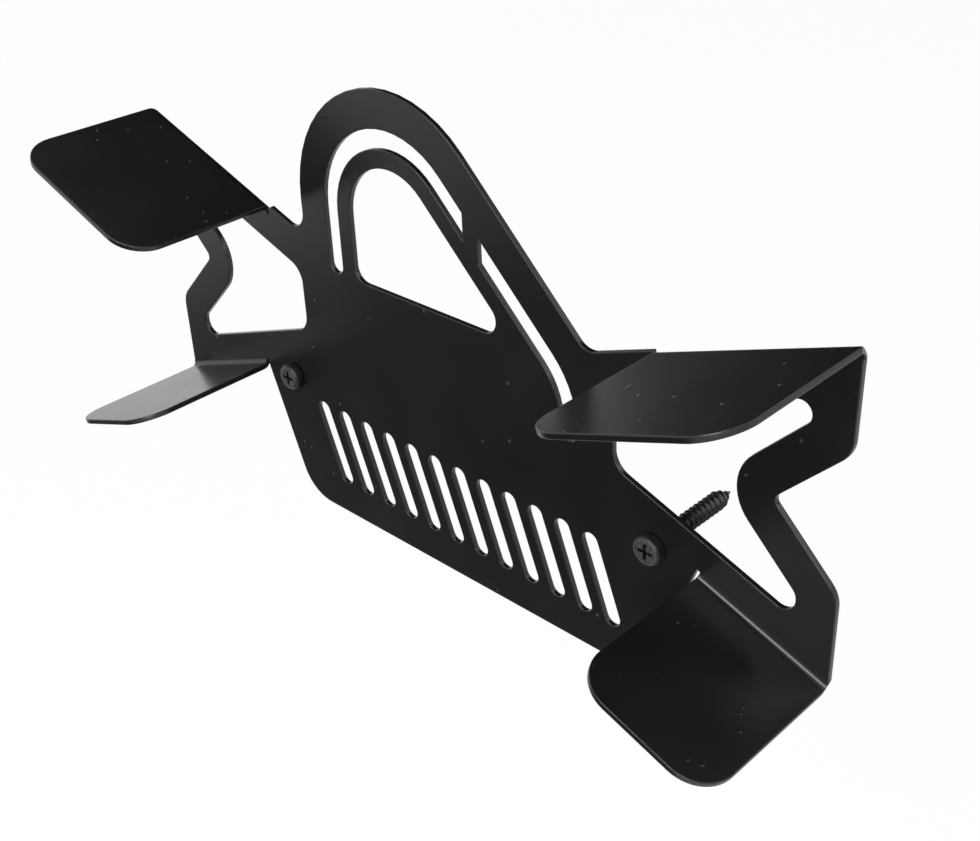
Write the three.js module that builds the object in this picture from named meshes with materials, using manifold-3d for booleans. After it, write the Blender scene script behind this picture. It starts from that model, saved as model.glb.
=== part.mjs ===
// Wall rack that holds two sticks crossed in an X.
// One steel sheet, cut flat and folded into four shelves, with the screws that hold it up.
// Millimetres. +X is to the viewer's right, +Z is up and the front faces -Y.
// The origin is on the wall, at the height where the two pairs of shelves aim at each other.

import * as THREE from 'three';
import { mergeVertices } from 'three/addons/utils/BufferGeometryUtils.js';
import Module from 'manifold-3d';

// Sheet
const sheetThickness = 1.5;
const bendRadius = 1.5;
const rackWidth = 235;
const plateDrop = 68;
const bandWidth = 10;
const foldDegrees = 20;

// Shelves
const shelfReach = 45;
const shelfCornerRadius = 10;
const shelfRingGap = 16.2;
const reliefWidth = 1;

// Lower plate and its row of slanted slots. The plate sits a little to the right of the middle.
const plateWidth = 157.5;
const plateShift = 1.9;
const plateCornerRadius = 12;
const slotWidth = 5;
const slotRowSide = 20.75;
const slotRowTop = 32.5;
const slotRowFloor = 10.5;
const slotPitch = 9.2;

// Side arms
const armCornerRadius = 7.5;
const armTabHeight = 21.8;
const armNotchRadius = 2;
const foldBandWidth = 8.3;
const openingStart = 56;
const openingCornerRadius = 3.5;
const openingEndRadius = 6;

// Ring on top
const ringTop = 66.5;
const ringRadius = 36;
const ringOffset = 16.5;
const innerBandWidth = 5;
const slotTie = 5;
const slotTieStart = 9;
const legLength = 50;
const ringFootHeight = 12;
const ringFootRadius = 4;
const legFillet = 5;
const legSlotRun = 3.5;

// Screws
const screwInset = 12.5;
const screwDrop = 27.6;
const screwDiameter = 4;
const screwLength = 32;
const screwPointLength = 5;
const headDiameter = 8;
const headHeight = 2.6;
const headEdgeRadius = 1.1;
const recessWidth = 4.4;
const recessBladeThickness = 0.9;
const recessDepth = 1.6;
const holeClearance = 0.3;
const seatGap = 0.3;

// Facets and booleans
const arcStepDegrees = 7.5;
const screwSides = 36;
const overrun = 1;
const seam = 0.2;
const samePoint = 0.001;

const wasm = await Module();
wasm.setup();

const foldAngle = THREE.MathUtils.degToRad(foldDegrees);
const halfWidth = rackWidth / 2;
const outerBend = sheetThickness + bendRadius;
const ringHeight = ringTop - ringRadius;
const slotHeight = plateDrop - slotRowFloor - slotRowTop;
const slotRowWidth = plateWidth - 2 * slotRowSide;

const coat = new THREE.MeshStandardMaterial({ color: 0x1b1b1c, roughness: 0.42, metalness: 0.1 });
const screwCoat = new THREE.MeshStandardMaterial({ color: 0x202022, roughness: 0.35, metalness: 0.6 });

// Rounded outlines
// A corner is [x, z, radius]. Each corner becomes an arc that is tangent to both its edges.
// Two arcs that would meet on a short edge share its length.
function tangentReach(before, corner, after) {
  const at = new THREE.Vector2(corner[0], corner[1]);
  const back = new THREE.Vector2(before[0], before[1]).sub(at);
  const ahead = new THREE.Vector2(after[0], after[1]).sub(at);
  const half = Math.acos(back.dot(ahead) / (back.length() * ahead.length())) / 2;
  return { at, back, ahead, half, reach: (corner[2] ?? 0) / Math.tan(half) };
}

function fairShare(reach, neighbourReach, edge) {
  return Math.min(reach, (edge.length() * reach) / Math.max(reach + neighbourReach, samePoint));
}

function cornerArc(before, corner, after) {
  const { at, back, ahead, half } = corner;
  const reach = Math.min(
    fairShare(corner.reach, before.reach, back),
    fairShare(corner.reach, after.reach, ahead),
  );
  if (reach === 0) return [at];
  const start = back.clone().setLength(reach);
  const end = ahead.clone().setLength(reach);
  const middle = start.clone().add(end).setLength(reach / Math.cos(half));
  return arcBetween(at, start, end, middle);
}

function arcBetween(at, start, end, middle) {
  const from = start.clone().sub(middle);
  const to = end.clone().sub(middle);
  const turn = Math.atan2(from.cross(to), from.dot(to));
  const steps = Math.ceil(Math.abs(turn) / THREE.MathUtils.degToRad(arcStepDegrees));
  const points = [];
  for (let i = 0; i <= steps; i++) {
    const spoke = from.clone().rotateAround(new THREE.Vector2(), (turn * i) / steps);
    points.push(spoke.add(middle).add(at));
  }
  return points;
}

function withNeighbours(items, make) {
  return items.map((item, i) => make(items.at(i - 1), item, items[(i + 1) % items.length]));
}

function outline(corners) {
  const points = withNeighbours(withNeighbours(corners, tangentReach), cornerArc).flat();
  return points.filter((point, i) => point.distanceTo(points.at(i - 1)) > samePoint);
}

function mirrored(corners) {
  return corners.map(([x, z, radius]) => [-x, z, radius]).reverse();
}

// Places along the fold lines, on the right-hand side of the rack.
// "along" runs outward from the middle and "rise" is square to the fold, upward.
function onUpperFold(along, rise, radius) {
  const x = along * Math.cos(foldAngle) - rise * Math.sin(foldAngle);
  const z = along * Math.sin(foldAngle) + rise * Math.cos(foldAngle);
  return [x, z, radius];
}

function onLowerFold(along, rise, radius) {
  const x = along * Math.cos(foldAngle) + rise * Math.sin(foldAngle);
  const z = -along * Math.sin(foldAngle) + rise * Math.cos(foldAngle);
  return [x, z, radius];
}

// The upper shelves are folded down over the front, so their bend starts below the fold line.
// The lower shelves are folded up, so theirs starts above it.
const upperBendStart = -outerBend;
const lowerBendStart = bendRadius;
const shelfOuterEnd = halfWidth / Math.cos(foldAngle);
const upperInnerEnd = (ringOffset + ringRadius) / Math.cos(foldAngle) + shelfRingGap;

// The shelf's side swings from the arm's upright edge to square with the fold inside the bend.
function endAtBend(bendStart) {
  return shelfOuterEnd - Math.abs(bendStart) * Math.tan(foldAngle);
}

// The notch is cut at 45 degrees and takes what the two upright tabs of the arm leave.
const armEndHeight = halfWidth * Math.tan(foldAngle) + upperBendStart / Math.cos(foldAngle);
const armNotchDepth = armEndHeight - armTabHeight;

function lowerInnerEnd(side) {
  return (plateWidth / 2 + side * plateShift) / Math.cos(foldAngle) + reliefWidth;
}

// The ring's right side runs down at 45 degrees, so x + z is constant along it.
function legLine(radius) {
  return ringHeight - ringOffset + radius * Math.SQRT2;
}

function lowerPlateCorner(side) {
  const [x, z] = onLowerFold(lowerInnerEnd(side) - reliefWidth, 0);
  const run = (plateDrop + z) * Math.tan(foldAngle);
  return [x - run, -plateDrop, plateCornerRadius];
}

// One side of the outline from the bottom up, drawn as if it were on the right.
function sideEdge(side) {
  const innerEnd = lowerInnerEnd(side);
  return [
    lowerPlateCorner(side),
    onLowerFold(innerEnd - reliefWidth, lowerBendStart),
    onLowerFold(endAtBend(lowerBendStart), lowerBendStart),
    [halfWidth, -armNotchDepth, armCornerRadius],
    [halfWidth - armNotchDepth, 0, armNotchRadius],
    [halfWidth, armNotchDepth, armCornerRadius],
    onUpperFold(endAtBend(upperBendStart), upperBendStart),
    onUpperFold(upperInnerEnd - reliefWidth, upperBendStart),
    onUpperFold(upperInnerEnd - reliefWidth, 0),
  ];
}

function sheetOutline() {
  const legX = legLine(ringRadius) / (1 + Math.tan(foldAngle));
  const leftX = ringOffset + ringRadius;
  return outline([
    ...sideEdge(1),
    [legX, legX * Math.tan(foldAngle), legFillet],
    [-leftX, legLine(ringRadius) + leftX, ringRadius],
    [-leftX, leftX * Math.tan(foldAngle), legFillet],
    ...mirrored(sideEdge(-1)),
  ]);
}

// Cut-outs
function ringHole() {
  const radius = ringRadius - bandWidth - slotWidth - innerBandWidth;
  const leftX = ringOffset + radius;
  return outline([
    [-leftX, ringFootHeight, ringFootRadius],
    [legLine(radius) - ringFootHeight, ringFootHeight, ringFootRadius],
    [-leftX, legLine(radius) + leftX, radius],
  ]);
}

function ringSlot() {
  const outer = ringRadius - bandWidth;
  const inner = outer - slotWidth;
  const outerX = ringOffset + outer;
  const innerX = ringOffset + inner;
  return outline([
    [-outerX, ringFootHeight, slotWidth / 2],
    [-innerX, ringFootHeight, slotWidth / 2],
    [-innerX, legLine(inner) + innerX, inner],
    [slotTieStart, legLine(inner) - slotTieStart],
    [slotTieStart, legLine(outer) - slotTieStart],
    [-outerX, legLine(outer) + outerX, outer],
  ]);
}

function legSlot() {
  const outer = ringRadius - bandWidth;
  const inner = outer - slotWidth;
  const startX = slotTieStart + slotTie;
  const endX = legLength / Math.SQRT2 - ringOffset;
  const endZ = ringHeight - legLength / Math.SQRT2 - legSlotRun;
  return outline([
    [startX, legLine(inner) - startX],
    [endX + inner, legLine(inner) - endX - inner, inner],
    [endX + inner, endZ, slotWidth / 2],
    [endX + outer, endZ, slotWidth / 2],
    [endX + outer, legLine(outer) - endX - outer, outer],
    [startX, legLine(outer) - startX],
  ]);
}

// The opening's long edges run beside the folds and its outer end follows the notched arm.
function sideOpening() {
  const edgeX = halfWidth - bandWidth;
  const notchX = halfWidth - armNotchDepth - bandWidth * Math.SQRT2;
  const upperDrop = (foldBandWidth - upperBendStart) / Math.cos(foldAngle);
  const lowerDrop = (foldBandWidth + lowerBendStart) / Math.cos(foldAngle);
  return [
    [openingStart, lowerDrop - openingStart * Math.tan(foldAngle), openingEndRadius],
    [edgeX, lowerDrop - edgeX * Math.tan(foldAngle), openingCornerRadius],
    [edgeX, notchX - edgeX, openingCornerRadius],
    [notchX, 0, armNotchRadius + bandWidth],
    [edgeX, edgeX - notchX, openingCornerRadius],
    [edgeX, edgeX * Math.tan(foldAngle) - upperDrop, openingCornerRadius],
    [openingStart, openingStart * Math.tan(foldAngle) - upperDrop, openingEndRadius],
  ];
}

function slantedSlots() {
  const lean = slotHeight * Math.tan(foldAngle);
  const across = slotWidth / Math.cos(foldAngle);
  const count = Math.floor((slotRowWidth - lean - across) / slotPitch) + 1;
  const rowWidth = (count - 1) * slotPitch + lean + across;
  const slots = [];
  for (let i = 0; i < count; i++) {
    const x = plateShift + i * slotPitch - rowWidth / 2;
    slots.push(outline([
      [x + lean, -slotRowTop - slotHeight, slotWidth / 2],
      [x + lean + across, -slotRowTop - slotHeight, slotWidth / 2],
      [x + across, -slotRowTop, slotWidth / 2],
      [x, -slotRowTop, slotWidth / 2],
    ]));
  }
  return slots;
}

function screwX(side) {
  return plateShift + side * (plateWidth / 2 - screwInset);
}

function screwHole(side) {
  const radius = screwDiameter / 2 + holeClearance;
  const hole = new THREE.Path();
  hole.absarc(screwX(side), -screwDrop, radius, 0, 2 * Math.PI);
  return hole.getPoints(screwSides / 2);
}

// Solids
function toManifold(geometry) {
  const bare = geometry.clone();
  bare.deleteAttribute('normal');
  bare.deleteAttribute('uv');
  const merged = mergeVertices(bare);
  const vertProperties = new Float32Array(merged.attributes.position.array);
  const triVerts = new Uint32Array(merged.index.array);
  return new wasm.Manifold(new wasm.Mesh({ numProp: 3, vertProperties, triVerts }));
}

function toGeometry(manifold) {
  const { vertProperties, triVerts } = manifold.getMesh();
  const geometry = new THREE.BufferGeometry();
  geometry.setAttribute('position', new THREE.BufferAttribute(vertProperties, 3));
  geometry.setIndex(new THREE.BufferAttribute(triVerts, 1));
  geometry.computeVertexNormals();
  return geometry;
}

function extrude(shape, depth) {
  return new THREE.ExtrudeGeometry(shape, { depth, bevelEnabled: false });
}

// The flat plate stands on the wall face and grows towards the front.
function flatPlate() {
  const shape = new THREE.Shape(sheetOutline());
  const opening = outline(sideOpening());
  const openingLeft = outline(mirrored(sideOpening()));
  const cuts = [ringHole(), ringSlot(), legSlot(), opening, openingLeft, ...slantedSlots()];
  cuts.push(screwHole(1), screwHole(-1));
  shape.holes = cuts.map((points) => new THREE.Path(points));
  return extrude(shape, sheetThickness).rotateX(Math.PI / 2);
}

// Shelves
// A shelf is drawn with its fold level: x runs outward along the fold and -y is the front.
// It takes the bend from the plate and ends in a flat tongue with two round corners.
function bendArc(centre, radius, from, to) {
  const steps = Math.ceil(Math.abs(to - from) / THREE.MathUtils.degToRad(arcStepDegrees));
  const points = [];
  for (let i = 0; i <= steps; i++) {
    const angle = from + ((to - from) * i) / steps;
    points.push(new THREE.Vector2(radius * Math.cos(angle), radius * Math.sin(angle)).add(centre));
  }
  return points;
}

// Section across the fold: x is the way out from the wall and y is up.
function shelfSection(foldedUp) {
  const front = sheetThickness + shelfReach;
  const side = foldedUp ? 1 : -1;
  const centre = new THREE.Vector2(outerBend, foldedUp ? bendRadius : -outerBend);
  const legY = centre.y + side * seam;
  const quarter = Math.PI + (side * Math.PI) / 2;
  const outerFace = bendArc(centre, outerBend, Math.PI, quarter);
  const innerFace = bendArc(centre, bendRadius, quarter, Math.PI);
  return new THREE.Shape([
    new THREE.Vector2(0, legY),
    ...outerFace,
    new THREE.Vector2(front, outerFace.at(-1).y),
    new THREE.Vector2(front, innerFace[0].y),
    ...innerFace,
    new THREE.Vector2(sheetThickness, legY),
  ]);
}

function shelfFootprint(innerEnd, bendStart) {
  const front = sheetThickness + shelfReach;
  const outerAtBend = endAtBend(bendStart);
  return new THREE.Shape(outline([
    [innerEnd, overrun],
    [innerEnd, -front, shelfCornerRadius],
    [shelfOuterEnd, -front, shelfCornerRadius],
    [shelfOuterEnd, -outerBend],
    [outerAtBend, 0],
    [outerAtBend, overrun],
  ]));
}

function shelf(innerEnd, bendStart) {
  const width = shelfOuterEnd - innerEnd;
  const bar = extrude(shelfSection(bendStart > 0), width);
  bar.rotateX(Math.PI / 2).rotateZ(-Math.PI / 2).translate(shelfOuterEnd, 0, 0);
  const tall = 2 * (outerBend + overrun);
  const trim = extrude(shelfFootprint(innerEnd, bendStart), tall).translate(0, 0, -tall / 2);
  return toGeometry(toManifold(bar).intersect(toManifold(trim)));
}

function mirrorToLeft(geometry) {
  const flipped = geometry.clone().scale(-1, 1, 1);
  const corners = flipped.index.array;
  for (let i = 0; i < corners.length; i += 3) {
    [corners[i], corners[i + 1]] = [corners[i + 1], corners[i]];
  }
  return flipped;
}

function shelvesOnSide(side) {
  const upper = shelf(upperInnerEnd, upperBendStart).rotateY(-foldAngle);
  const lower = shelf(lowerInnerEnd(side), lowerBendStart).rotateY(foldAngle);
  const pair = [upper, lower];
  return side > 0 ? pair : pair.map(mirrorToLeft);
}

function foldedSheet() {
  let solid = toManifold(flatPlate());
  for (const piece of [...shelvesOnSide(1), ...shelvesOnSide(-1)]) {
    solid = solid.add(toManifold(piece));
  }
  return toGeometry(solid);
}

// Screws
// Pan-head screw, turned about its own axis and then laid with its point towards the wall.
function screwProfile() {
  const shank = screwDiameter / 2;
  const head = headDiameter / 2;
  const edge = bendArc(
    new THREE.Vector2(head - headEdgeRadius, headHeight - headEdgeRadius),
    headEdgeRadius,
    0,
    Math.PI / 2,
  );
  return [
    new THREE.Vector2(0, -screwLength),
    new THREE.Vector2(shank, screwPointLength - screwLength),
    new THREE.Vector2(shank, 0),
    new THREE.Vector2(head, 0),
    ...edge,
    new THREE.Vector2(0, headHeight),
  ];
}

function crossRecess() {
  const depth = recessDepth + overrun;
  const blade = new THREE.BoxGeometry(recessWidth, depth, recessBladeThickness);
  blade.translate(0, headHeight - recessDepth + depth / 2, 0);
  return toManifold(blade).add(toManifold(blade.clone().rotateY(Math.PI / 2)));
}

function screw() {
  const turned = new THREE.LatheGeometry(screwProfile(), screwSides);
  const solid = toManifold(turned).subtract(crossRecess());
  return toGeometry(solid).rotateX(Math.PI);
}

function named(name, geometry, material) {
  const mesh = new THREE.Mesh(geometry, material);
  mesh.name = name;
  return mesh;
}

function screwAt(name, side) {
  const mesh = named(name, screw(), screwCoat);
  mesh.position.set(screwX(side), -sheetThickness - seatGap, -screwDrop);
  return mesh;
}

const rack = new THREE.Group();
rack.add(named('folded_steel_sheet', foldedSheet(), coat));
rack.add(screwAt('left_wall_screw', -1));
rack.add(screwAt('right_wall_screw', 1));

export default rack;
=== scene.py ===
# %% [markdown]
# # A folded sheet-steel wall rack
# The real rack is one sheet of steel. A laser cut its outline, a press folded four shelves forward,
# and the whole sheet was then powder coated in black.
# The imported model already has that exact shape, so it is loaded first and never moved.
# What is left for this file is the finish, the softened edges, the screws' threads, light and a camera.

import math

import bmesh
import bpy
from mathutils import Matrix, Vector


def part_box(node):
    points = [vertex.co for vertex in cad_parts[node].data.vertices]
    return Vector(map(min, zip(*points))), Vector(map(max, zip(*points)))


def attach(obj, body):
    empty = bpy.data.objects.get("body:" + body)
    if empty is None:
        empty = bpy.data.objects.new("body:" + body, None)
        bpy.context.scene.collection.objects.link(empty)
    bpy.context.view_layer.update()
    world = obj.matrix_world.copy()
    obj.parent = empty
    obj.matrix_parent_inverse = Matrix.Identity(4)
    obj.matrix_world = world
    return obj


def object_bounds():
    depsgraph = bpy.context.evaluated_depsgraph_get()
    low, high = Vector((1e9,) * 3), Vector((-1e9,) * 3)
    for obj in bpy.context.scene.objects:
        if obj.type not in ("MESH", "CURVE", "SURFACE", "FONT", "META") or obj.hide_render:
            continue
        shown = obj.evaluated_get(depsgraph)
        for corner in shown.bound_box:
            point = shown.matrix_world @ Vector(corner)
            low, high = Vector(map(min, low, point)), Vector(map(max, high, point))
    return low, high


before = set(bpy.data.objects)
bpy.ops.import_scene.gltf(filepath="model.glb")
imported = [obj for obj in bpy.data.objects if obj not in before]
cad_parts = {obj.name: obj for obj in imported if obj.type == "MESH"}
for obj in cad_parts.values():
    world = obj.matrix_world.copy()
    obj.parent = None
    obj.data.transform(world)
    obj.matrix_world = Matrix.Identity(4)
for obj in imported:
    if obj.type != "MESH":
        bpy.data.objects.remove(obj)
cad_low, cad_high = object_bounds()
MM = 0.001
print("packed model in mm", [round(side / MM, 1) for side in cad_high - cad_low])

# %% [markdown]
# ## Colours
# Colours are picked on a screen as sRGB hex values, but shaders work in linear light.
# One function turns the first into the second, so every colour below can be read as it was picked.

# %% Hex colour to linear colour
def linear(hex_colour):
    """Turns '#rrggbb' into the linear colour that a shader socket takes."""
    channels = [int(hex_colour[i : i + 2], 16) / 255 for i in (1, 3, 5)]
    return [c / 12.92 if c <= 0.04045 else ((c + 0.055) / 1.055) ** 2.4 for c in channels] + [1.0]


print("black coat in linear light", [round(c, 4) for c in linear("#131313")])

# %% [markdown]
# ## Adding nodes
# A material is a small tree of nodes. Adding one always takes three steps: make it, set its values and
# link its inputs. One helper does all three, and its keyword names are the node's own settings.
# An input is given by its socket name or number, with either a value or another node's output.

# %% One helper that adds a node
def add_node(tree, kind, inputs=None, **settings):
    """Adds a node of the given kind, sets its settings, and fills or links its inputs."""
    node = tree.nodes.new(kind)
    for name, value in settings.items():
        setattr(node, name, value)
    for socket, value in (inputs or {}).items():
        if isinstance(value, bpy.types.NodeSocket):
            tree.links.new(value, node.inputs[socket])
        else:
            node.inputs[socket].default_value = value
    return node


def new_material(name):
    """Makes an empty node material and returns it with its tree."""
    material = bpy.data.materials.new(name)
    material.use_nodes = True
    material.node_tree.nodes.clear()
    return material, material.node_tree


# %% [markdown]
# ## Black satin powder coat
# Powder is sprayed on dry and then melted in an oven. It flows into a skin that is smooth to the hand
# but still has a faint orange peel, with waves of about a millimetre that are a thousandth as high.
# The skin is a plastic, so it is not metallic and its IOR is near 1.5: almost black when seen
# straight on, and a soft mirror when seen at a low angle.
# Two kinds of dirt get into the melt. Dust stays as rare pale specks, and grit under the skin lifts it
# into small domes. Both could be painted in by hand, but Voronoi cells place them by themselves:
# only a few cells are picked, and a grain sits in the middle of each.
# Grains fall, so the faces that look up catch more of them than the upright ones.

# %% Grains in a few cells
UPRIGHT_SHARE = 0.2


def grains(tree, place, cell, radius, share):
    """One in the middle of a grain and zero outside it, for the given share of the cells."""
    cells = add_node(tree, "ShaderNodeTexVoronoi", {"Vector": place, "Scale": 1 / cell})
    apart = cells.outputs["Distance"]
    inputs = {"Value": apart, "From Max": radius / cell, "To Min": 1.0, "To Max": 0.0}
    dome = add_node(tree, "ShaderNodeMapRange", inputs, interpolation_type="SMOOTHSTEP")
    lot = add_node(tree, "ShaderNodeSeparateColor", {0: cells.outputs["Color"]}).outputs["Red"]
    picked = add_node(tree, "ShaderNodeMath", {0: lot, 1: share}, operation="LESS_THAN")
    inputs = {0: dome.outputs[0], 1: picked.outputs[0]}
    return add_node(tree, "ShaderNodeMath", inputs, operation="MULTIPLY").outputs[0]


def more_on_top(tree, share):
    """The given share on faces that look up, and only part of it on upright ones."""
    normal = add_node(tree, "ShaderNodeNewGeometry").outputs["Normal"]
    upward = add_node(tree, "ShaderNodeSeparateXYZ", {0: normal}).outputs["Z"]
    inputs = {"Value": upward, "To Min": share * UPRIGHT_SHARE, "To Max": share}
    return add_node(tree, "ShaderNodeMapRange", inputs).outputs[0]


# %% The coat's relief
PEEL_WAVE, PEEL_DEPTH, PEEL_DETAIL = 1.1 * MM, 0.0014 * MM, 2
GRIT_CELL, GRIT_RADIUS, GRIT_SHARE = 3.2 * MM, 0.55 * MM, 0.3
GRIT_HEIGHT = 0.2 * MM


def coat_height(tree, place):
    """The coat's relief in metres: orange peel, and domes over the grit."""
    grit = grains(tree, place, GRIT_CELL, GRIT_RADIUS, more_on_top(tree, GRIT_SHARE))
    inputs = {"Vector": place, "Scale": 1 / PEEL_WAVE, "Detail": PEEL_DETAIL}
    peel = add_node(tree, "ShaderNodeTexNoise", inputs).outputs["Fac"]
    lifted = add_node(tree, "ShaderNodeMath", {0: grit, 1: GRIT_HEIGHT}, operation="MULTIPLY")
    inputs = {0: peel, 1: PEEL_DEPTH, 2: lifted.outputs[0]}
    return add_node(tree, "ShaderNodeMath", inputs, operation="MULTIPLY_ADD").outputs[0]


print("coat: peel waves of", PEEL_WAVE / MM, "mm, grit in cells of", GRIT_CELL / MM, "mm")

# %% [markdown]
# ### Cloudiness and edges of the coat
# Where the powder flowed thinner it is a little less smooth. One wide noise therefore varies both
# tone and roughness, by so little that it reads as cloudiness and not as patches.
# The melt also flows round every edge. The mesh has a narrow round there, and a Bevel node turns the
# shading as a wider round would, so the edge catches more light without more geometry.

# %% The coat material
CLOUD_START, CLOUD_END = 0.15, 0.85
FLOW_WAVE = 18 * MM
DUST_CELL, DUST_RADIUS, DUST_SHARE = 1.6 * MM, 0.3 * MM, 0.05
FLOWED_EDGE, FLOWED_EDGE_SAMPLES = 0.42 * MM, 8
COAT_IOR = 1.5
COAT_ROUGHNESS, COAT_ROUGHNESS_SPREAD = 0.3, 0.02


def cloudy(tree, pattern, dark, light):
    """A colour that goes from dark to light over the middle of a noise."""
    inputs = {"Value": pattern, "From Min": CLOUD_START, "From Max": CLOUD_END}
    share = add_node(tree, "ShaderNodeMapRange", inputs).outputs[0]
    inputs = {0: share, 6: linear(dark), 7: linear(light)}
    return add_node(tree, "ShaderNodeMix", inputs, data_type="RGBA").outputs[2]


def black_powder_coat():
    """Black satin polyester powder coat on steel."""
    material, tree = new_material("black_satin_powder_coat")
    place = add_node(tree, "ShaderNodeTexCoord").outputs["Object"]
    inputs = {"Vector": place, "Scale": 1 / FLOW_WAVE, "Detail": 0}
    flow = add_node(tree, "ShaderNodeTexNoise", inputs).outputs["Fac"]
    dust = grains(tree, place, DUST_CELL, DUST_RADIUS, more_on_top(tree, DUST_SHARE))
    inputs = {0: dust, 6: cloudy(tree, flow, "#0e0e0e", "#131313"), 7: linear("#504e4b")}
    colour = add_node(tree, "ShaderNodeMix", inputs, data_type="RGBA")
    least, most = COAT_ROUGHNESS - COAT_ROUGHNESS_SPREAD, COAT_ROUGHNESS + COAT_ROUGHNESS_SPREAD
    roughness = add_node(tree, "ShaderNodeMapRange", {"Value": flow, "To Min": least, "To Max": most})
    flowed = add_node(tree, "ShaderNodeBevel", {"Radius": FLOWED_EDGE}, samples=FLOWED_EDGE_SAMPLES)
    inputs = {"Height": coat_height(tree, place), "Distance": 1.0, "Normal": flowed.outputs["Normal"]}
    bump = add_node(tree, "ShaderNodeBump", inputs)
    skin = {
        "Base Color": colour.outputs[2],
        "Roughness": roughness.outputs[0],
        "IOR": COAT_IOR,
        "Normal": bump.outputs["Normal"],
    }
    coat = add_node(tree, "ShaderNodeBsdfPrincipled", skin)
    add_node(tree, "ShaderNodeOutputMaterial", {"Surface": coat.outputs[0]})
    return material


coat_material = black_powder_coat()
print("coat:", coat_material.name, "with dust in cells of", DUST_CELL / MM, "mm")

# %% [markdown]
# ## The folded sheet
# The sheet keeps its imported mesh. A coated edge is never sharp, because powder builds a small round
# on it, and that round is what draws the thin bright line along every cut.
# Modifiers can add it without touching the mesh: the split corners are welded, flat facets are joined,
# points that all but touch are welded too, and only corners that are really sharp get a narrow bevel.
# The order matters, because a bevel on a sliver of a face would throw a spike out of the piece.

# %% Soften the sheet's edges
EDGE_ROUND = 0.19 * MM
SEAM_REACH = 0.002 * MM
SLIVER_REACH = 0.1 * MM
FLAT_DEGREES, SHARP_DEGREES = 0.5, 35
ROUND_SEGMENTS = 3
BIG_FACE_WEIGHT = 100


def soften(piece, radius):
    """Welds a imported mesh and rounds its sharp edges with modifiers."""
    seams = piece.modifiers.new("weld_seams", "WELD")
    seams.merge_threshold = SEAM_REACH
    flatten = piece.modifiers.new("join_flat_facets", "DECIMATE")
    flatten.decimate_type = "DISSOLVE"
    flatten.angle_limit = math.radians(FLAT_DEGREES)
    slivers = piece.modifiers.new("weld_slivers", "WELD")
    slivers.merge_threshold = SLIVER_REACH
    bevel = piece.modifiers.new("edge_round", "BEVEL")
    bevel.width = radius
    bevel.segments = ROUND_SEGMENTS
    bevel.limit_method = "ANGLE"
    bevel.angle_limit = math.radians(SHARP_DEGREES)
    bevel.use_clamp_overlap = False
    piece.data.shade_smooth()
    normals = piece.modifiers.new("flat_faces_stay_flat", "WEIGHTED_NORMAL")
    normals.weight = BIG_FACE_WEIGHT
    normals.keep_sharp = True


def coat_with(piece, material):
    """Gives a piece one material in its first slot."""
    piece.data.materials.clear()
    piece.data.materials.append(material)


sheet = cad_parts["folded_steel_sheet"]
coat_with(sheet, coat_material)
soften(sheet, EDGE_ROUND)
print("sheet:", len(sheet.data.polygons), "faces before rounding")

# %% [markdown]
# ## Blackened screws
# The screws are hardened steel, blackened in a hot salt bath. The layer is a very thin oxide,
# so the steel still shows through it as a dark metal. Where the flat of each head faces the front,
# it is painted greyer and more uneven than its side: partly scuffs from a driver, partly a painted
# highlight.
# Metal keeps the default IOR, and its roughness is what makes it satin. The oxide hides part of the
# metal, so the metallic value lies between none and full.

# %% The screw material
BLACKENING_WAVE, BLACKENING_DETAIL = 0.8 * MM, 4
SCUFF_WAVE, SCUFF_DEPTH, SCUFF_DETAIL = 0.5 * MM, 0.03 * MM, 4
SCUFF_START, SCUFF_END = 0.3, 0.7
FRONT_FACING = 0.8


def front_highlight_and_scuffs(tree, scuffs):
    """Mask of the painted highlight and scuffs: near one where the surface looks to the front and the
    scuffs are strong, and zero elsewhere.
    """
    normal = add_node(tree, "ShaderNodeNewGeometry").outputs["Normal"]
    inputs = {0: normal, 1: (0, -1, 0)}
    facing = add_node(tree, "ShaderNodeVectorMath", inputs, operation="DOT_PRODUCT").outputs["Value"]
    inputs = {"Value": facing, "From Min": FRONT_FACING, "From Max": 1.0}
    front = add_node(tree, "ShaderNodeMapRange", inputs).outputs[0]
    inputs = {"Value": scuffs, "From Min": SCUFF_START, "From Max": SCUFF_END}
    scratches = add_node(tree, "ShaderNodeMapRange", inputs).outputs[0]
    return add_node(tree, "ShaderNodeMath", {0: front, 1: scratches}, operation="MULTIPLY").outputs[0]


def blackened_steel():
    """Hot blackened steel, as on wood screws."""
    material, tree = new_material("blackened_screw_steel")
    place = add_node(tree, "ShaderNodeTexCoord").outputs["Object"]
    inputs = {"Vector": place, "Scale": 1 / BLACKENING_WAVE, "Detail": BLACKENING_DETAIL}
    blackening = add_node(tree, "ShaderNodeTexNoise", inputs).outputs["Fac"]
    inputs = {"Vector": place, "Scale": 1 / SCUFF_WAVE, "Detail": SCUFF_DETAIL}
    scuffs = add_node(tree, "ShaderNodeTexNoise", inputs).outputs["Fac"]
    oxide = cloudy(tree, blackening, "#1c1c1d", "#2c2d2f")
    # Painted highlight with scuffs: the front-facing flat of each head is mixed towards this grey.
    inputs = {0: front_highlight_and_scuffs(tree, scuffs), 6: oxide, 7: linear("#77787b")}
    tone = add_node(tree, "ShaderNodeMix", inputs, data_type="RGBA")
    bump = add_node(tree, "ShaderNodeBump", {"Height": scuffs, "Distance": SCUFF_DEPTH})
    skin = {
        "Base Color": tone.outputs[2],
        "Metallic": 0.6,
        "Roughness": 0.4,
        "Normal": bump.outputs["Normal"],
    }
    steel = add_node(tree, "ShaderNodeBsdfPrincipled", skin)
    add_node(tree, "ShaderNodeOutputMaterial", {"Surface": steel.outputs[0]})
    return material


# %% Blacken and soften the screws
SCREW_EDGE_ROUND = 0.08 * MM

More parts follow.
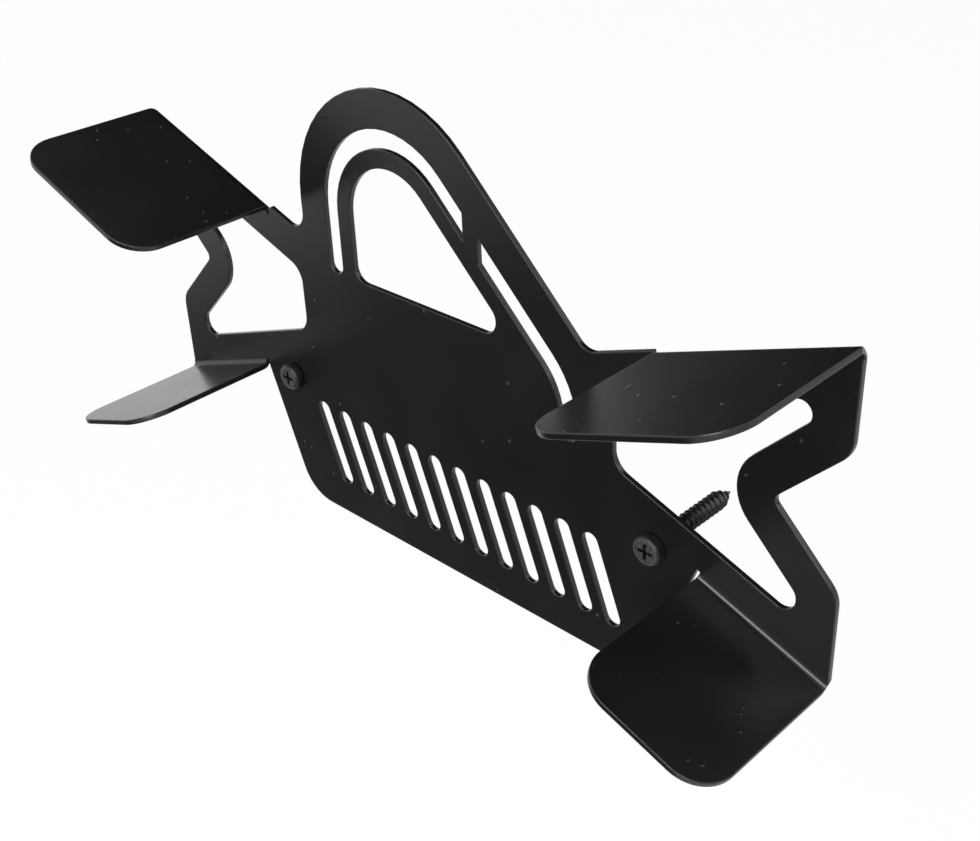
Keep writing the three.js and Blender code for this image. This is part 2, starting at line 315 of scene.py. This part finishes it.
screw_material = blackened_steel()
screws = [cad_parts[name] for name in ("left_wall_screw", "right_wall_screw")]
for screw in screws:
    coat_with(screw, screw_material)
    soften(screw, SCREW_EDGE_ROUND)
print("screws:", [screw.name for screw in screws])

# %% [markdown]
# ## Screw threads
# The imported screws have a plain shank, and a wood screw has a coarse thread on most of it.
# A thread is a small triangle that is carried round and along the shank at the same time.
# A Screw modifier could wind it, but towards the point the core thins out and the ridge gets lower
# with it. A helix that is drawn point by point can follow that, and it keeps the crest sharp.

# %% The ridge's section
THREAD_PITCH, THREAD_HEIGHT = 1.8 * MM, 0.55 * MM
THREAD_STEPS = 24
THREAD_START_SHARE = 0.3
CORE_RADIUS = 2.0 * MM
POINT_LENGTH = 5 * MM
POINT_CORE_SHARE = 0.02
POINT_RIDGE_SHARE = 0.35
SUNK_ROOT_SHARE = 0.97


def ridge_section(to_point, fade):
    """The ridge's three corners as radius and shift along the shank, at a distance from the point."""
    core_share = min(1, max(POINT_CORE_SHARE, to_point / POINT_LENGTH))
    core = CORE_RADIUS * core_share
    height = THREAD_HEIGHT * fade * (POINT_RIDGE_SHARE + (1 - POINT_RIDGE_SHARE) * core_share)
    root = core * SUNK_ROOT_SHARE
    return [(root, -THREAD_PITCH / 4), (core + height, 0), (root, THREAD_PITCH / 4)]


# %% Wind a thread on each shank
def ridge_rings(mesh, low, high):
    """The ridge's sections along its helix, as rings of three points."""
    axis_x, axis_z = (low.x + high.x) / 2, (low.z + high.z) / 2
    start = low.y + THREAD_START_SHARE * (high.y - low.y)
    end = high.y - THREAD_PITCH / 2
    turns = (end - start) / THREAD_PITCH
    count = int(turns * THREAD_STEPS)
    rings = []
    for i in range(count + 1):
        y = start + (end - start) * i / count
        angle = math.tau * turns * i / count
        fade = min(1, i / THREAD_STEPS, (count - i) / THREAD_STEPS)
        ring = []
        for r, dy in ridge_section(high.y - y, fade):
            point = (axis_x + r * math.cos(angle), y + dy, axis_z + r * math.sin(angle))
            ring.append(mesh.verts.new(point))
        rings.append(ring)
    return rings


def thread_on(screw):
    """A helical ridge from part of the way down the shank to the point."""
    low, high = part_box(screw.name)
    mesh = bmesh.new()
    rings = ridge_rings(mesh, Vector(low), Vector(high))
    for near, far in zip(rings, rings[1:]):
        for k in range(3):
            mesh.faces.new((near[k], near[(k + 1) % 3], far[(k + 1) % 3], far[k]))
    mesh.faces.new(reversed(rings[0]))
    mesh.faces.new(rings[-1])
    bmesh.ops.recalc_face_normals(mesh, faces=mesh.faces)
    data = bpy.data.meshes.new(screw.name + "_thread")
    mesh.to_mesh(data)
    mesh.free()
    piece = bpy.data.objects.new(screw.name + "_thread", data)
    bpy.context.scene.collection.objects.link(piece)
    data.materials.append(screw_material)
    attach(piece, "root")
    return piece


threads = [thread_on(screw) for screw in screws]
print("threads:", [thread.name for thread in threads])

# %% [markdown]
# ## Camera
# The camera stands in front of the rack, to its right and above it, and is turned a little about its
# own axis. Its angles were worked out from the two directions in which the plate's straight edges
# vanish.
# The image is 980 by 841, and the lens follows from the same lines.

# %% Place the camera
CAMERA_AIM = Vector((15.75, -1.5, -12.8)) * MM
CAMERA_DISTANCE = 357.7 * MM
CAMERA_AZIMUTH, CAMERA_ELEVATION, CAMERA_ROLL = 45.1, 30.44, -2.47
CAMERA_LENS = 51.74


def place_camera():
    """A camera that looks at the aim from the given angles."""
    azimuth, elevation = math.radians(CAMERA_AZIMUTH), math.radians(CAMERA_ELEVATION)
    flat = math.cos(elevation)
    back = Vector((math.sin(azimuth) * flat, -math.cos(azimuth) * flat, math.sin(elevation)))
    camera = bpy.data.objects.new("camera", bpy.data.cameras.new("camera"))
    camera.data.lens = CAMERA_LENS
    camera.data.clip_start = 10 * MM
    camera.matrix_world = (
        Matrix.Translation(CAMERA_AIM + back * CAMERA_DISTANCE)
        @ back.to_track_quat("Z", "Y").to_matrix().to_4x4()
        @ Matrix.Rotation(math.radians(CAMERA_ROLL), 4, "Z")
    )
    bpy.context.scene.collection.objects.link(camera)
    bpy.context.scene.camera = camera
    return camera


camera = place_camera()
print("camera at", [round(c, 4) for c in camera.matrix_world.translation])

# %% [markdown]
# ## Floor
# The rack is shown alone in a white studio, well above a pale floor.
# Floor and room are white to the camera and in reflections, and the floor still takes the rack's
# soft shadow. To other rays they are a middle grey, so the white is seen and mirrored but lights nothing.

# %% Floor and backdrop
FLOOR_GAP = 230 * MM
FLOOR_SIDE = 60.0
PAPER_GLOW = 0.97


def seen_directly(tree):
    """One for the camera's rays and for rays that come by a reflection or through glass."""
    path = add_node(tree, "ShaderNodeLightPath")
    inputs = {0: path.outputs["Is Glossy Ray"], 1: path.outputs["Is Transmission Ray"]}
    bounced = add_node(tree, "ShaderNodeMath", inputs, operation="MAXIMUM")
    inputs = {0: path.outputs["Is Camera Ray"], 1: bounced.outputs[0]}
    return add_node(tree, "ShaderNodeMath", inputs, operation="MAXIMUM").outputs[0]


def studio_floor():
    """Pale paper that is white to the camera and in reflections."""
    material, tree = new_material("studio_paper")
    seen = seen_directly(tree)
    paper = add_node(tree, "ShaderNodeBsdfDiffuse", {"Color": linear("#6c6c6c")})
    shade = add_node(tree, "ShaderNodeBsdfDiffuse", {"Color": linear("#444444")})
    glow = add_node(tree, "ShaderNodeEmission", {"Color": linear("#ffffff"), "Strength": PAPER_GLOW})
    white = add_node(tree, "ShaderNodeAddShader", {0: shade.outputs[0], 1: glow.outputs[0]})
    mix = add_node(tree, "ShaderNodeMixShader", {0: seen, 1: paper.outputs[0], 2: white.outputs[0]})
    add_node(tree, "ShaderNodeOutputMaterial", {"Surface": mix.outputs[0]})
    return material


mesh = bmesh.new()
bmesh.ops.create_grid(mesh, x_segments=1, y_segments=1, size=FLOOR_SIDE / 2)
floor_data = bpy.data.meshes.new("floor")
mesh.to_mesh(floor_data)
mesh.free()
floor = bpy.data.objects.new("floor", floor_data)
floor.location.z = cad_low.z - FLOOR_GAP
floor_data.materials.append(studio_floor())
bpy.context.scene.collection.objects.link(floor)
print("floor at", round(floor.location.z / MM), "mm")

# %% [markdown]
# ## Dark cloth for a black object
# A black coat is drawn by what it mirrors, and in a room that is white all round it would look grey.
# So a grey mat lies on the floor where the plate looks, and a dark cloth hangs behind where the
# shelves look. The camera sees neither of them from any side, and neither casts a shadow.
# Their places are in metres, as everything in Blender that has no unit of its own.

# %% Mat and cloth
def dark_cloth(name, colour, corners):
    """A flat dark cloth with the given corners that only shows in reflections."""
    data = bpy.data.meshes.new(name)
    data.from_pydata([tuple(corner) for corner in corners], [], [(0, 1, 2, 3)])
    material, tree = new_material(name + "_felt")
    felt = add_node(tree, "ShaderNodeBsdfDiffuse", {"Color": linear(colour)})
    add_node(tree, "ShaderNodeOutputMaterial", {"Surface": felt.outputs[0]})
    data.materials.append(material)
    piece = bpy.data.objects.new(name, data)
    piece.visible_camera = False
    piece.visible_shadow = False
    bpy.context.scene.collection.objects.link(piece)
    return piece


def direction(azimuth, elevation):
    """The direction with the given angles, counted from the rack's right and from level."""
    level, turn = math.radians(elevation), math.radians(azimuth)
    flat = math.cos(level)
    return Vector((flat * math.cos(turn), flat * math.sin(turn), math.sin(level)))


MAT_LEFT, MAT_RIGHT, MAT_FRONT, MAT_BACK = -0.68, 0.045, -0.857, -0.125
MAT_THICKNESS = 1 * MM
CLOTH_AZIMUTH, CLOTH_ELEVATION, CLOTH_DISTANCE = 96.5, 30, 1.6
CLOTH_WIDTH, CLOTH_HEIGHT = 3.27, 2.5

mat_height = floor.location.z + MAT_THICKNESS
mat_corners = [
    (MAT_LEFT, MAT_FRONT, mat_height),
    (MAT_RIGHT, MAT_FRONT, mat_height),
    (MAT_RIGHT, MAT_BACK, mat_height),
    (MAT_LEFT, MAT_BACK, mat_height),
]
front_mat = dark_cloth("front_mat", "#545454", mat_corners)

towards = direction(CLOTH_AZIMUTH, CLOTH_ELEVATION)
across = towards.cross(Vector((0, 0, 1))).normalized() * CLOTH_WIDTH / 2
upward = across.cross(towards).normalized() * CLOTH_HEIGHT / 2
middle = towards * CLOTH_DISTANCE
cloth_corners = [
    middle - across - upward,
    middle + across - upward,
    middle + across + upward,
    middle - across + upward,
]
back_cloth = dark_cloth("back_cloth", "#2a2a2a", cloth_corners)
print("cloth:", front_mat.name, back_cloth.name)

# %% [markdown]
# ## Light
# Two key panels stand in front, one high and one low. They light the coat and draw the bright lines
# along the rounded edges. The left panel adds to the white that the lower left shelf mirrors,
# and the rim panel behind the right arm lights the edges that look back.
# Azimuths are counted from the rack's right, so 270 degrees is straight in front of it.

# %% Lamps
def panel(name, azimuth, elevation, distance, size, brightness):
    """A soft panel that faces the rack and is as bright as a white wall times its brightness."""
    lamp = bpy.data.lights.new(name, "AREA")
    lamp.shape = "RECTANGLE"
    lamp.size, lamp.size_y = size
    lamp.energy = brightness * math.pi * size[0] * size[1]
    piece = bpy.data.objects.new(name, lamp)
    piece.location = direction(azimuth, elevation) * distance
    piece.rotation_euler = direction(azimuth, elevation).to_track_quat("Z", "Y").to_euler()
    piece.visible_camera = False
    bpy.context.scene.collection.objects.link(piece)
    return piece


panel("high_key_panel", azimuth=275, elevation=41, distance=1.3, size=(0.55, 0.5), brightness=11.0)
panel("low_key_panel", azimuth=303, elevation=20, distance=1.3, size=(0.5, 0.5), brightness=11.0)
panel("left_panel", azimuth=160, elevation=-2, distance=1.8, size=(1.0, 0.8), brightness=0.55)
panel("rim_panel", azimuth=50, elevation=31, distance=1.4, size=(0.6, 0.5), brightness=2.5)

# %% World
world = bpy.data.worlds.new("studio")
bpy.context.scene.world = world
world.use_nodes = True
sky = world.node_tree
sky.nodes.clear()
seen = seen_directly(sky)
room = add_node(sky, "ShaderNodeBackground", {"Color": linear("#464646"), "Strength": 1.0})
white = add_node(sky, "ShaderNodeBackground", {"Color": linear("#fcfcfc"), "Strength": 1.0})
mix = add_node(sky, "ShaderNodeMixShader", {0: seen, 1: room.outputs[0], 2: white.outputs[0]})
add_node(sky, "ShaderNodeOutputWorld", {"Surface": mix.outputs[0]})
bpy.context.scene.view_settings.view_transform = "Standard"
print("world:", world.name)
